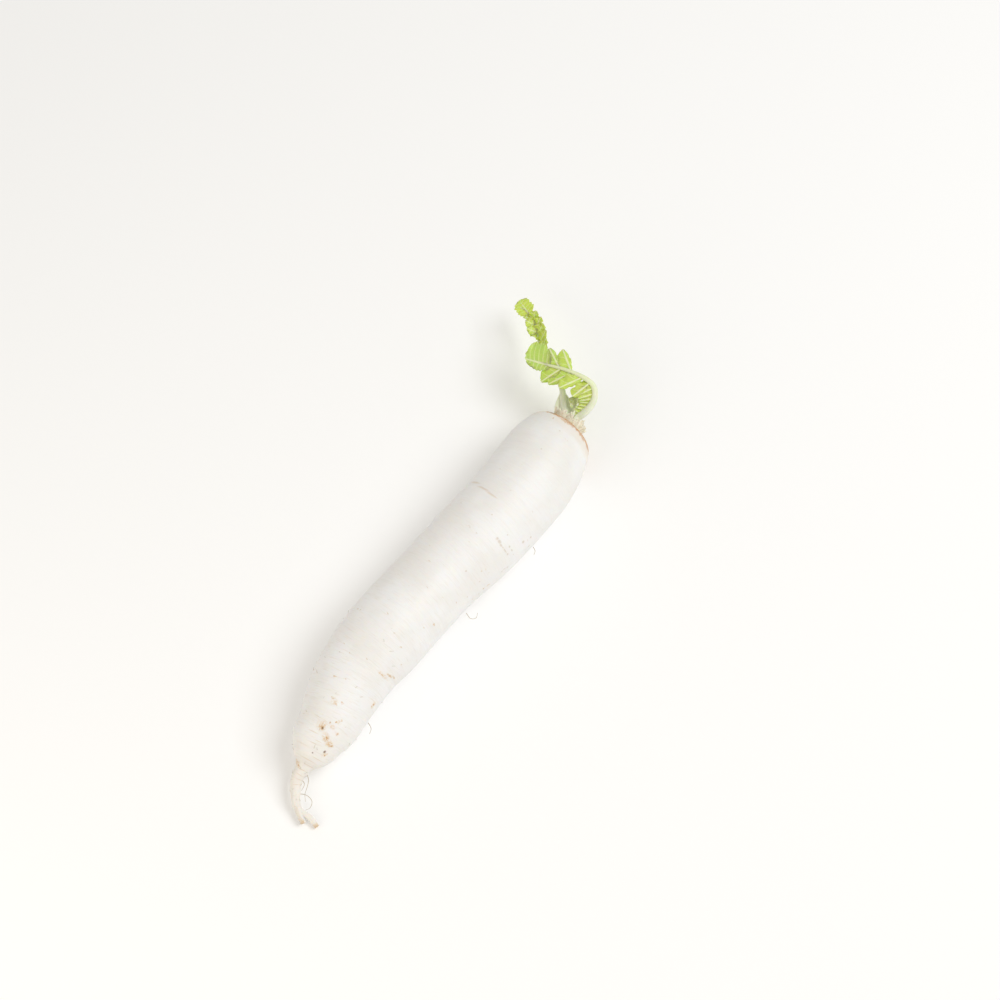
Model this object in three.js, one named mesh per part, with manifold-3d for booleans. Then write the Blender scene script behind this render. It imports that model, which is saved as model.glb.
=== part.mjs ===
// A daikon radish as picked: one white root lying on its side, its dry collar and three young leaves.
// Millimetres, +Z up, +X from the tail to the crown, origin on the flat spot that the root lies on.

import * as THREE from "three";
import { mergeVertices } from "three/addons/utils/BufferGeometryUtils.js";
import Module from "manifold-3d";

const wasm = await Module();
wasm.setup();

// Driving dimensions
const pressed = 1;            // how deep the belly is flattened where it lies on a surface
const bladeThickness = 0.7;   // leaf blade
const ribThickness = 0.7;     // how much thicker a blade is along its rib
const toothDepth = 1.2;       // depth of the scallops in a leaf's edge
const toothShare = 0.16;      // the same on small lobes, as a share of the half width
const neckShare = 0.3;        // width of a lobe at its foot and tip, as a share of its width
const stalkSides = 7;
const stalkSteps = 20;
const clearance = 0.3;        // gap between a piece and the next one
const holeGap = 0.45;         // the same round a stalk, whose flat sides come nearer than its radius
const rootSides = 30;
const rootSteps = 46;

// The root from the fork of its tail to its crown: x, y, radius, height of its underside.
// A height of -pressed is where it lies on its belly.
const rootStations = [
  [-167, -15, 2.8, 2.6], [-163, -11, 3.2, 4.6], [-154, -5.2, 4.1, 6.8], [-147, -4.6, 5, 8.8],
  [-143, -4.2, 7, 8.2], [-138.5, -3.8, 11.2, 5.2], [-131.5, -3, 15.4, 2.6], [-122.5, -1.6, 18.9, 0.6],
  [-111, -1.1, 21.2, -0.6], [-91, 2.3, 24.4, -pressed], [-69, 4.3, 26.7, -pressed],
  [-43, 3.2, 29.3, -pressed], [-14, 1.1, 29, -pressed], [16, -1.6, 28.7, -pressed],
  [47, -6.4, 30.4, -pressed], [78, -10, 31.3, -pressed], [107, -11.2, 31.4, -pressed],
  [127, -9.5, 29.9, -0.2], [138, -8.9, 28, 0.8], [146, -8.7, 25.6, 2.6], [151, -8.6, 22.6, 4.9],
  [153.6, -8.5, 19.6, 7.9], [154.9, -8.4, 17, 10.7], [155.6, -8.35, 14.4, 13.45],
];

// The two tips of the taproot's fork: x, y, radius, height of its underside
const longTip = [[-165, -13, 2.4, 3.6], [-168, -20, 2.1, 2.6], [-168, -27, 1.6, 2], [-170, -33.5, 1.2, 1]];
const shortTip = [[-165, -13, 2.2, 3.8], [-170, -19, 2, 3], [-173.5, -25, 1.6, 2]];

// The collar of old leaf bases round the crown
const collarRadius = 11.2;
const collarHeight = 4.5;
const outerScales = 14;
const innerScales = 9;

const UP = new THREE.Vector3(0, 0, 1);
const vector = (x, y, z) => new THREE.Vector3(x, y, z);
const degrees = THREE.MathUtils.degToRad;

// Random numbers that are the same each time
THREE.MathUtils.seededRandom(11);
const random = (low, high) => low + (high - low) * THREE.MathUtils.seededRandom();

const smoothCurve = (points) => new THREE.CatmullRomCurve3(points, false, "catmullrom");

// Turns rows of x, y, radius and underside height into rows of x, y, z and radius
const lying = (stations) => stations.map(([x, y, radius, under]) => [x, y, under + radius, radius]);

// A round bar through stations of x, y, z and radius: a cylinder bent along the curve between them
function bar(stations, sides, steps, grow = 0) {
  const middle = smoothCurve(stations.map(([x, y, z]) => vector(x, y, z)));
  const girth = smoothCurve(stations.map(([, , , radius]) => vector(radius + grow, 0, 0)));
  const geometry = new THREE.CylinderGeometry(1, 1, 1, sides, steps);
  const place = geometry.attributes.position;
  for (let i = 0; i < place.count; i++) {
    const t = place.getY(i) + 0.5;
    const ahead = middle.getTangent(t);
    const side = ahead.clone().cross(UP).normalize();
    const over = side.clone().cross(ahead);
    const radius = girth.getPoint(t).x;
    const point = middle.getPoint(t);
    point.addScaledVector(side, place.getX(i) * radius);
    point.addScaledVector(over, place.getZ(i) * radius);
    place.setXYZ(i, point.x, point.y, point.z);
  }
  return geometry;
}

// A thin plate over a surface given by u from 0 to 1 along it and v from -1 to 1 across it.
// Both faces are split into triangles alike, so a wave in the plate never makes them cross.
function plate(across, along, surface, thickness) {
  const grid = new THREE.PlaneGeometry(2, 1, across, along);
  const place = grid.attributes.position;
  const count = place.count;
  const step = 0.01;
  const faces = [[], []];
  for (let i = 0; i < count; i++) {
    const u = place.getY(i) + 0.5;
    const v = place.getX(i);
    const point = surface(u, v);
    const alongEdge = surface(u + step, v).sub(surface(u - step, v));
    const acrossEdge = surface(u, v + step).sub(surface(u, v - step));
    const normal = acrossEdge.cross(alongEdge).normalize();
    const half = thickness(u, v) / 2;
    faces[0].push(...point.clone().addScaledVector(normal, half));
    faces[1].push(...point.clone().addScaledVector(normal, -half));
  }
  const index = [];
  for (let i = 0; i < grid.index.count; i += 3) {
    const [a, b, c] = [0, 1, 2].map((k) => grid.index.getX(i + k));
    index.push(a, b, c, c + count, b + count, a + count);
  }
  const wall = (a, b) => index.push(b, a, a + count, b, a + count, b + count);
  const row = across + 1;
  const last = along * row;
  for (let i = 0; i < across; i++) {
    wall(last + i, last + i + 1);
    wall(i + 1, i);
  }
  for (let j = 0; j < along; j++) {
    wall(j * row, (j + 1) * row);
    wall((j + 1) * row + across, j * row + across);
  }
  const geometry = new THREE.BufferGeometry();
  geometry.setAttribute("position", new THREE.Float32BufferAttribute(faces.flat(), 3));
  geometry.setIndex(index);
  return geometry;
}

// Joining and cutting closed solids
function solid(geometry) {
  const bare = geometry.clone();
  bare.deleteAttribute("normal");
  bare.deleteAttribute("uv");
  const merged = mergeVertices(bare, 1e-4);
  const vertProperties = new Float32Array(merged.attributes.position.array);
  const triVerts = new Uint32Array(merged.index.array);
  return new wasm.Manifold(new wasm.Mesh({ numProp: 3, vertProperties, triVerts }));
}

const fuse = (geometries) => geometries.map(solid).reduce((whole, next) => whole.add(next));
const cut = (body, geometries) => geometries.map(solid).reduce((left, next) => left.subtract(next), body);

// The outer skin alone: hollows that crossing plates have sealed are filled, and loose scraps dropped
const largest = (body) => body.decompose().reduce((most, next) => (next.volume() > most.volume() ? next : most));

function meshOf(name, body, colour, roughness) {
  const { vertProperties, triVerts } = largest(body).getMesh();
  const geometry = new THREE.BufferGeometry();
  geometry.setAttribute("position", new THREE.BufferAttribute(vertProperties, 3));
  geometry.setIndex(new THREE.BufferAttribute(triVerts, 1));
  const material = new THREE.MeshStandardMaterial({ color: colour, roughness, metalness: 0 });
  const mesh = new THREE.Mesh(geometry, material);
  mesh.name = name;
  return mesh;
}

// Root: the swollen body and its taproot, with the belly pressed flat
function makeRoot() {
  const body = bar(lying(rootStations), rootSides, rootSteps);
  const place = body.attributes.position;
  for (let i = 0; i < place.count; i++) {
    place.setZ(i, Math.max(place.getZ(i), 0));
  }
  return fuse([body, bar(lying(longTip), 8, 8), bar(lying(shortTip), 8, 5)]);
}

// The crown's own directions: out of the root, to its right and over it
const rootLine = smoothCurve(lying(rootStations).map(([x, y, z]) => vector(x, y, z)));
const crownCentre = rootLine.getPoint(1);
const crownOut = rootLine.getTangent(1);
const crownRight = crownOut.clone().cross(UP).normalize();
const crownOver = crownRight.clone().cross(crownOut);

const onCrown = (right, over, height) => crownCentre.clone()
  .addScaledVector(crownRight, right)
  .addScaledVector(crownOver, over)
  .addScaledVector(crownOut, height);

// A stalk's foot stands straight on the crown, from just above it
function footStations([right, over], radius, from) {
  return [from, 4].map((height) => [...onCrown(right, over, height), radius]);
}

// One lobe of a leaf: an oval plate with a scalloped edge, a raised rib, a curl and a ruffle.
// skew makes one half of it wider than the other.
// phase is where the ruffle starts, and a small blunt gives a lobe with a broad end.
function lobe({ foot, rib, cross, face }, shape, phase) {
  const { length, width, skew = 0, blunt = 0.7, teeth, curl, cup, ruffle, across, along } = shape;
  const surface = (u, v) => {
    const swell = Math.sin(Math.PI * THREE.MathUtils.clamp(u, 0, 1) ** 1.2) ** blunt;
    const smooth = width / 2 * (1 - skew * v) * (neckShare + (1 - neckShare) * swell);
    const notch = Math.min(toothShare * smooth, toothDepth) * Math.cos(teeth * Math.PI * u) ** 2;
    const half = smooth - notch;
    const rise = curl * length * u * u + cup * half * v * v + ruffle * v * v * Math.sin(9 * u + phase);
    return foot.clone()
      .addScaledVector(rib, length * u - 0.12 * width * v * v * u)
      .addScaledVector(cross, half * v)
      .addScaledVector(face, rise);
  };
  const thickness = (u, v) => bladeThickness + ribThickness * Math.max(0, 1 - 3 * Math.abs(v)) * (1 - 0.6 * u);
  return plate(across, along, surface, thickness);
}

// The smooth line of a leaf's stalk, from its foot on the crown to its tip
function stalkStations({ foot, stalk }) {
  return [...footStations(foot, stalk[0][3], 0.5), ...stalk];
}

// The leaf's own directions at a distance along its stalk. The stalk curls about curlAxis.
// roll turns the blade about the stalk, and fold closes its two halves towards each other;
// both go from their first value to their last between the two shares of the length in opens.
function leafFrame(leaf, line, distance) {
  const t = distance / line.getLength();
  const open = THREE.MathUtils.smoothstep(t, ...leaf.opens);
  const roll = degrees(THREE.MathUtils.lerp(...leaf.roll, open));
  const fold = degrees(THREE.MathUtils.lerp(...leaf.fold, open));
  const ahead = line.getTangentAt(t);
  const inside = curlAxis.clone().cross(ahead).normalize();
  const beneath = inside.clone().cross(ahead);
  const face = inside.multiplyScalar(Math.cos(roll)).addScaledVector(beneath, Math.sin(roll));
  return { foot: line.getPointAt(t), ahead, face, lateral: ahead.clone().cross(face), fold };
}

// A leaf: its stalk, two rows of lobes, the end lobe and, on one, a broad clasping base
function makeLeaf(leaf) {
  const stations = stalkStations(leaf);
  const line = smoothCurve(stations.map(([x, y, z]) => vector(x, y, z)));

  const sideLobe = ([distance, length, width, lean], side) => {
    const { foot, ahead, face, lateral, fold } = leafFrame(leaf, line, distance);
    const away = lateral.multiplyScalar(side * Math.cos(fold)).addScaledVector(face, Math.sin(fold));
    const tilt = degrees(lean);
    const rib = away.clone().multiplyScalar(Math.cos(tilt)).addScaledVector(ahead, Math.sin(tilt));
    const cross = ahead.clone().multiplyScalar(Math.cos(tilt)).addScaledVector(away, -Math.sin(tilt));
    const upper = away.clone().cross(ahead).multiplyScalar(side);
    const phase = random(0, Math.PI);
    const twist = degrees(leaf.twist) * Math.sin(7 * phase);
    const turned = cross.clone().multiplyScalar(Math.cos(twist)).addScaledVector(upper, Math.sin(twist));
    upper.multiplyScalar(Math.cos(twist)).addScaledVector(cross, -Math.sin(twist));
    return lobe({ foot, rib, cross: turned, face: upper }, {
      length, width, skew: leaf.skew, teeth: 3, curl: leaf.curl, cup: 0.25, ruffle: leaf.ruffle * length,
      across: length > 7 ? 4 : 2, along: 6,
    }, phase);
  };

  const lobes = leaf.near.map((row) => sideLobe(row, 1));
  lobes.push(...leaf.far.map((row) => sideLobe(row, -1)));

  const { foot, ahead, face, lateral } = leafFrame(leaf, line, line.getLength() - leaf.end.length * 0.92);
  lobes.push(lobe({ foot, rib: ahead, cross: lateral, face }, {
    ...leaf.end, teeth: 6, cup: 0.15, ruffle: 0.6, across: 6, along: 12,
  }, random(0, Math.PI)));
  if (leaf.sheath) {
    lobes.push(makeSheath(leaf, 0));
  }
  return fuse([bar(stations, stalkSides, stalkSteps), ...lobes]);
}

// The broad base of a stalk: a trough-shaped plate that clasps the crown and narrows up the stalk
function makeSheath(leaf, grow) {
  const line = smoothCurve(stalkStations(leaf).map(([x, y, z]) => vector(x, y, z)));
  const { from, length, width, skew } = leaf.sheath;
  const surface = (u, v) => {
    const { foot, face, lateral } = leafFrame(leaf, line, from + length * u);
    const flare = (0.55 + 1.6 * u) * Math.max(1 - u, 0) ** 1.3;
    const half = grow + 0.8 + width / 2 * (1 - skew * v) * flare;
    return foot.addScaledVector(lateral, half * v).addScaledVector(face, 0.35 * half * v * v - 0.6);
  };
  return plate(4, 7, surface, (u) => 1.7 - u + 2 * grow);
}

// The leaves curl about one line, which leans a little from upright
const curlAxis = vector(-0.35, -0.24, 0.9).normalize();

// Curled leaf: it leaves the crown on the right, turns back over it and opens flat at its end.
// foot is its place on the crown, stalk holds x, y, z and radius, and near and far are its two rows
// of lobes: distance along the stalk, length, width, and lean towards the tip in degrees. twist is
// how far a lobe may turn about its rib, in degrees, and ruffle is a share of its length.
const curledLeaf = {
  foot: [4.5, 0.5],
  stalk: [
    [167.5, -10.4, 28.4, 2.8], [172.5, -12.4, 30.2, 2.9], [179, -14, 33.5, 2.8],
    [184.5, -13.6, 38, 2.5], [189, -9.3, 42.5, 2.2], [189.3, -2.2, 45.5, 1.85], [188, 6.2, 46.6, 1.5],
    [186.4, 15.2, 46, 1.2], [184, 25.3, 44, 0.9], [183.5, 34.5, 41.7, 0.65], [184, 41, 39.6, 0.45],
  ],
  roll: [0, 88],
  fold: [64, 8],
  opens: [0.5, 0.62],
  near: [
    [24, 6.5, 3.4, -25], [27.5, 8, 3.8, -22], [31, 9.5, 4.2, -18], [34.5, 11.5, 5, -12], [38.5, 13, 6, -2],
    [43, 15.5, 8, 14], [49.5, 19, 9.5, 34], [57.5, 19.5, 10, 42], [66, 18, 11, 42],
  ],
  far: [
    [28, 5, 3, -20], [32, 6.5, 3.4, -16], [36, 8, 4, -10], [40, 9.5, 4.6, 0],
    [44.5, 12, 6, 10], [51, 16, 8, 26], [58.5, 18, 10, 44], [67.5, 17, 10, 44],
  ],
  end: { length: 21, width: 20, skew: 0.42, curl: -0.05, blunt: 0.42 },
  curl: 0.04,
  skew: -0.4,
  twist: 8,
  ruffle: 0.05,
};

// Long leaf: it lies behind the curled one and reaches further, with its blade half folded
const longLeaf = {
  foot: [-4.6, -1.2],
  stalk: [
    [166, -1.6, 28.4, 2.9], [170.5, 2.4, 29.6, 2.7], [175.3, 6.4, 31.5, 2.3], [179.5, 10.4, 33, 2],
    [184.4, 18.7, 34, 1.8], [191.2, 30.1, 33.5, 1.5], [198.7, 41.3, 32.5, 1.2],
    [206.5, 49.7, 31, 1], [213.4, 58.6, 30, 0.85], [217.6, 68, 28.5, 0.65], [217.6, 77, 27, 0.45],
  ],
  roll: [-84, -88],
  fold: [38, 20],
  opens: [0.6, 0.9],
  near: [
    [55, 7, 8, 24], [61.5, 9, 9.5, 34], [68.5, 10.5, 10.5, 26], [75, 9.5, 11, 40], [81.5, 9, 10.5, 34],
    [87.5, 8, 9, 44],
  ],
  far: [
    [57, 6, 7, 36], [64, 8, 8.5, 26], [70.5, 7.5, 9, 40], [77, 8.5, 9.5, 30], [83.5, 8, 9.5, 44],
    [89, 7, 8, 38],
  ],
  end: { length: 17, width: 13.5, curl: -0.04, blunt: 0.45 },
  curl: 0.05,
  skew: 0,
  twist: 30,
  ruffle: 0.09,
  sheath: { from: 5, length: 22, width: 14, skew: 0.35 },
};

// Inner leaf: small and folded, in the hollow of the curled one
const innerLeaf = {
  foot: [-0.2, 3.2],
  stalk: [
    [166, -7.4, 31.3, 1.2], [171, -6, 32.3, 1.4], [174.8, -4.8, 33.3, 1.4], [177.3, -2.2, 34.2, 1.1],
    [178.2, 1.8, 34.4, 0.6],
  ],
  roll: [-60, -60],
  fold: [48, 40],
  opens: [0.5, 1],
  near: [[15.5, 5, 4.5, 20], [19.5, 6.5, 5, 25]],
  far: [[17, 5, 4.5, 20], [21, 6, 5, 25]],
  end: { length: 9, width: 7.5, curl: 0, blunt: 0.6 },
  curl: 0.04,
  skew: 0,
  twist: 15,
  ruffle: 0.08,
};

// Collar: a low ring of old leaf bases with two rows of broken scales standing on it,
// and a hole round the foot of each leaf
function makeCollar() {
  const profile = [
    [0, clearance], [collarRadius, clearance], [collarRadius + 0.5, 2], [collarRadius - 0.6, collarHeight],
    [collarRadius - 3, collarHeight + 1], [0, collarHeight],
  ];
  const base = new THREE.LatheGeometry(profile.map(([r, h]) => new THREE.Vector2(r, h)), 22);
  const standing = new THREE.Matrix4().makeBasis(crownRight, crownOut, crownOver);
  base.applyMatrix4(standing.setPosition(crownCentre));

  const scaleAt = (turn, radius, height, width, lean) => {
    const away = crownRight.clone().multiplyScalar(Math.cos(turn)).addScaledVector(crownOver, Math.sin(turn));
    const round = away.clone().cross(crownOut);
    const foot = crownCentre.clone().addScaledVector(away, radius).addScaledVector(crownOut, 1.5);
    const ragged = random(-0.5, 0.5);
    const surface = (u, v) => foot.clone()
      .addScaledVector(crownOut, height * u * (1 + ragged * v * u * 0.4))
      .addScaledVector(away, lean * height * u * u - 0.06 * width * v * v)
      .addScaledVector(round, width / 2 * v * (1 - 0.3 * u * u));
    return plate(2, 3, surface, (u) => 1.9 - 0.9 * u);
  };
  const ringOfScales = (count, radius, heights, widths, leans) => {
    for (let i = 0; i < count; i++) {
      const turn = (i + random(-0.2, 0.2)) / count * 2 * Math.PI;
      scales.push(scaleAt(turn, radius, random(...heights), random(...widths), random(...leans)));
    }
  };
  const scales = [];
  ringOfScales(outerScales, collarRadius - 1, [6, 8.5], [4.8, 6.4], [0.05, 0.25]);
  ringOfScales(innerScales, collarRadius - 3.2, [7.5, 10], [4.2, 5.8], [0, 0.15]);

  const holes = [curledLeaf, longLeaf, innerLeaf].map(({ foot, stalk }) =>
    bar([...footStations(foot, stalk[0][3], -1), ...stalk.slice(0, 3)], stalkSides, 12, holeGap));
  return cut(fuse([base, ...scales]), [...holes, makeSheath(longLeaf, clearance)]);
}

// The whole radish, with each piece's name, solid, colour and roughness
const radish = new THREE.Group();
radish.add(meshOf("root", makeRoot(), 0xf4efe6, 0.5));
radish.add(meshOf("leaf_curled", makeLeaf(curledLeaf), 0xb9cf6a, 0.55));
radish.add(meshOf("leaf_long", makeLeaf(longLeaf), 0xb3c854, 0.55));
radish.add(meshOf("leaf_inner", makeLeaf(innerLeaf), 0xc3d47c, 0.55));
radish.add(meshOf("crown_collar", makeCollar(), 0xdccda4, 0.85));

export default radish;
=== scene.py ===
# %% [markdown]
# # A daikon radish, lying as picked
#
# The object is one white root with a thin forked taproot, a dry collar round its crown and three
# young leaves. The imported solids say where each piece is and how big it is. This script gives every
# solid a finer piece in the same place, and then adds rootlets, colour, a floor, light and a camera.
# Shapes are worked out in millimetres, as a grower would measure them, and turned into metres last.

import math

import bmesh
import bpy
from mathutils import Matrix, Vector, noise


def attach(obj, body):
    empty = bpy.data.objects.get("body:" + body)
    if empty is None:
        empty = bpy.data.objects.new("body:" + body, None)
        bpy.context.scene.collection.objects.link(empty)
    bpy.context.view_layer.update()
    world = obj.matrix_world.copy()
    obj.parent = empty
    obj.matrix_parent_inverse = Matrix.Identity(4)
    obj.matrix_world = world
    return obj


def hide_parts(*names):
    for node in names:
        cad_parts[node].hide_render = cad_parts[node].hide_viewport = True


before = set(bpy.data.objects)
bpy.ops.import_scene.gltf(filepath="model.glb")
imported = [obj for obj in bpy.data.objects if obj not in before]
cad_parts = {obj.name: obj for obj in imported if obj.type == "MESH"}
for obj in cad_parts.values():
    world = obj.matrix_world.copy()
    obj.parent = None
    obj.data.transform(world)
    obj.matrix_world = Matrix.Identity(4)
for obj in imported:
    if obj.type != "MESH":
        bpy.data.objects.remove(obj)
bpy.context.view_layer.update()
print("nodes in the frame:", sorted(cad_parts))

# %% [markdown]
# ## Camera
#
# A camera could be placed by eye until the picture looks right. Here it is worked out: the root lies on
# a table, the view comes down on it at 65 degrees, and one pixel of a picture 1000 pixels wide shows
# 0.7 mm. A long lens keeps the two ends of the root at nearly the same scale.

# %% Camera that looks down on the table
mm = 0.001
picture_pixels = 1000
pixel_size = 0.70 * mm
lens, sensor = 100, 36
azimuth, elevation = math.radians(-55), math.radians(65)
target = Vector((96.3, 4.9, 0)) * mm

away = Vector((math.sin(azimuth) * math.cos(elevation), -math.cos(azimuth) * math.cos(elevation),
               math.sin(elevation)))
distance = picture_pixels * pixel_size * lens / sensor
camera = bpy.data.objects.new("Camera", bpy.data.cameras.new("Camera"))
camera.data.lens = lens
camera.data.sensor_width = sensor
camera.data.clip_end = 20
camera.location = target + away * distance
camera.rotation_euler = (-away).to_track_quat("-Z", "Y").to_euler()
bpy.context.scene.collection.objects.link(camera)
bpy.context.scene.camera = camera
print("camera stands", round(distance, 3), "m from what it looks at")

# %% [markdown]
# ## Floor, light and background
#
# The photograph is cut out on pure white, so the floor is nearly white too and only a soft shadow is left
# on it. A plane could be lit by one lamp, but a hard shadow would draw a second outline beside the root.
# One broad lamp from the right gives the root its roundness, a weaker one fills the left, and the
# background lights everything a little. The plain "Standard" view keeps white as white.


# %% An object from a bmesh
def linked_object(name, bm):
    """Turns a bmesh into an object of the scene, and frees it."""
    mesh = bpy.data.meshes.new(name)
    bm.to_mesh(mesh)
    bm.free()
    made = bpy.data.objects.new(name, mesh)
    bpy.context.scene.collection.objects.link(made)
    return made


# %% Floor
floor_size = 8
floor_bm = bmesh.new()
bmesh.ops.create_grid(floor_bm, x_segments=1, y_segments=1, size=floor_size / 2)
floor = linked_object("floor", floor_bm)
paper = bpy.data.materials.new("White paper")
paper.use_nodes = True
paper_look = {
    "Base Color": (0.93, 0.93, 0.93, 1), "Roughness": 0.95, "Specular IOR Level": 0.1,
    "Emission Color": (1, 1, 1, 1), "Emission Strength": 0.08,
}
for socket, value in paper_look.items():
    paper.node_tree.nodes["Principled BSDF"].inputs[socket].default_value = value
floor.data.materials.append(paper)
print("floor of", floor_size, "m")

# %% Lamps
LIT_POINT = Vector((20, 0, 30)) * mm


def lamp(name, direction, reach, size, power, colour):
    """A square soft lamp that looks at the middle of the object."""
    light = bpy.data.lights.new(name, "AREA")
    light.size = size
    light.energy = power
    light.color = colour
    holder = bpy.data.objects.new(name, light)
    towards = Vector(direction).normalized()
    holder.location = LIT_POINT + towards * reach
    holder.rotation_euler = towards.to_track_quat("Z", "Y").to_euler()
    bpy.context.scene.collection.objects.link(holder)
    return holder


lamp("Key", direction=(0.45, -0.6, 1.0), reach=2.6, size=1.6, power=32.5, colour=(0.97, 0.99, 1.0))
lamp("Fill", direction=(-1.2, 0.2, 0.7), reach=1.1, size=0.8, power=3.0, colour=(1.0, 0.92, 0.80))

# %% Background and view
world = bpy.data.worlds.new("Studio")
world.use_nodes = True
background = world.node_tree.nodes["Background"].inputs
background["Color"].default_value = (1.0, 0.97, 0.92, 1)
background["Strength"].default_value = 0.53
bpy.context.scene.world = world
bpy.context.scene.view_settings.view_transform = "Standard"
bpy.context.scene.view_settings.look = "None"
print("background strength", round(background["Strength"].default_value, 2))

# %% [markdown]
# ## Lines that grown things follow
#
# A root, a stalk and a hair are all bars drawn along a smooth line that gets thinner. A Blender curve could
# hold such a line, but the finer pieces have to lie exactly where the solids are, so the line is the same
# Catmull-Rom curve through the same stations. A station is a vector of four numbers: x, y, z and radius.

# %% A smooth line through stations
UP = Vector((0, 0, 1))
LINE_PARTS = 400      # how finely a line is measured
SHARE_STEP = 1e-4     # how far apart two points lie that show its direction


class Line:
    """A smooth line through stations of x, y, z and radius, in millimetres."""

    def __init__(self, stations):
        self.rows = [Vector(row) for row in stations]
        places = [self.at(i / LINE_PARTS).to_3d() for i in range(LINE_PARTS + 1)]
        self.reached = [0.0]
        for here, there in zip(places, places[1:]):
            self.reached.append(self.reached[-1] + (there - here).length)
        self.length = self.reached[-1]

    def at(self, share):
        """The point and radius at a share of the line, from 0 to 1."""
        rows = self.rows
        place = share * (len(rows) - 1)
        i = min(max(int(place), 0), len(rows) - 2)
        w = place - i
        before = rows[i - 1] if i > 0 else 2 * rows[0] - rows[1]
        after = rows[i + 2] if i + 2 < len(rows) else 2 * rows[-1] - rows[-2]
        step = rows[i + 1] - rows[i]
        leave = (rows[i + 1] - before) / 2
        arrive = (after - rows[i]) / 2
        bend = (3 * step - 2 * leave - arrive) * w ** 2 + (leave + arrive - 2 * step) * w ** 3
        return rows[i] + leave * w + bend

    def ahead(self, share):
        """The direction in which the line runs there."""
        low, high = max(share - SHARE_STEP, 0), min(share + SHARE_STEP, 1)
        return (self.at(high) - self.at(low)).to_3d().normalized()

    def axes(self, share):
        """Ahead, to the side and over: the three directions that a section of a bar is laid on."""
        ahead = self.ahead(share)
        side = ahead.cross(UP).normalized()
        return ahead, side, side.cross(ahead)

    def share_at(self, travelled):
        """The share of the line where it has run so many millimetres."""
        if travelled <= 0:
            return 0.0
        for i in range(LINE_PARTS):
            if self.reached[i + 1] >= travelled:
                part = self.reached[i + 1] - self.reached[i]
                return (i + (travelled - self.reached[i]) / part) / LINE_PARTS
        return 1.0


def lying(stations):
    """Rows of x, y, radius and height of the underside become rows of x, y, z and radius."""
    return [(x, y, under + radius, radius) for x, y, radius, under in stations]


# %% The line of the root, from the long tip of its tail to its crown
pressed = 1      # how deep the belly is flattened where it lies on the table
tail_stations = [(-170, -33.5, 1.2, 1), (-168, -27, 1.6, 2), (-168, -20, 2.1, 2.6)]
body_stations = [
    (-167, -15, 2.8, 2.6), (-163, -11, 3.2, 4.6), (-154, -5.2, 4.1, 6.8), (-147, -4.6, 5, 8.8),
    (-143, -4.2, 7, 8.2), (-138.5, -3.8, 11.2, 5.2), (-131.5, -3, 15.4, 2.6), (-122.5, -1.6, 18.9, 0.6),
    (-111, -1.1, 21.2, -0.6), (-91, 2.3, 24.4, -pressed), (-69, 4.3, 26.7, -pressed),
    (-43, 3.2, 29.3, -pressed), (-14, 1.1, 29, -pressed), (16, -1.6, 28.7, -pressed),
    (47, -6.4, 30.4, -pressed), (78, -10, 31.3, -pressed), (107, -11.2, 31.4, -pressed),
    (127, -9.5, 29.9, -0.2), (138, -8.9, 28, 0.8), (146, -8.7, 25.6, 2.6), (151, -8.6, 22.6, 4.9),
    (153.6, -8.5, 19.6, 7.9), (154.9, -8.4, 17, 10.7), (155.6, -8.35, 14.4, 13.45),
]
short_tip_stations = [(-165, -13, 2.2, 3.8), (-170, -19, 2, 3), (-173.5, -25, 1.6, 2)]

root_line = Line(lying(tail_stations + body_stations))
crown_centre = root_line.at(1).to_3d()
crown_out, crown_right, crown_over = root_line.axes(1)
print("the root's line is", round(root_line.length), "mm long, and the crown is at", crown_centre)

# %% [markdown]
# ## Bars
#
# Drawing a ring of vertices along a line can be done with a bevelled curve, a Skin modifier or extrusion. A
# cylinder that is cut across into rings, and whose rings are then laid on the line, gives even quads, closed
# ends and full control of each ring, so the same helper makes the root, the stalks and the hairs.


# %% A mesh that keeps values at its vertices
def new_mesh():
    """An empty bmesh. Straight is a vertex's place on the straightened piece, in millimetres, pale is 1
    on a stalk or rib and 0 on a blade, and tone tells one lobe or scale from the next."""
    bm = bmesh.new()
    bm.verts.layers.float_vector.new("straight")
    bm.verts.layers.float.new("pale")
    bm.verts.layers.float.new("tone")
    return bm


def value_layers(bm):
    """The layers that hold straight, pale and tone."""
    layers = bm.verts.layers
    return layers.float_vector["straight"], layers.float["pale"], layers.float["tone"]


# %% A bar laid on a line
def bar(line, sides, shares, axes, values, relief=lambda ring, turn: 1.0):
    """A closed bar, in a bmesh of its own, with one ring at each share of the line. Relief scales its
    radius and values gives straight, pale and tone, both from the ring and the turn round it."""
    bm = new_mesh()
    straight, pale, tone = value_layers(bm)
    rings = len(shares) - 1
    bmesh.ops.create_cone(bm, cap_ends=True, segments=sides, radius1=1, radius2=1, depth=1)
    lengthwise = [e for e in bm.edges if abs(e.verts[0].co.z - e.verts[1].co.z) > 0.5]
    bmesh.ops.subdivide_edges(bm, edges=lengthwise, cuts=rings - 1, use_grid_fill=True)
    sections = [(line.at(share), axes(share)) for share in shares]
    for v in bm.verts:
        ring = round((v.co.z + 0.5) * rings)
        turn = math.atan2(v.co.y, v.co.x)
        middle, (_, side, over) = sections[ring]
        radius = middle.w * relief(ring, turn)
        v.co = middle.to_3d() + (side * math.cos(turn) + over * math.sin(turn)) * radius
        v[straight], v[pale], v[tone] = values(ring, turn)
    bmesh.ops.recalc_face_normals(bm, faces=bm.faces)
    return bm


# %% Join two meshes, and fade between two values
def add_part(whole, part):
    """Moves one bmesh into another."""
    carrier = bpy.data.meshes.new("carrier")
    part.to_mesh(carrier)
    part.free()
    whole.from_mesh(carrier)
    bpy.data.meshes.remove(carrier)


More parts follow.
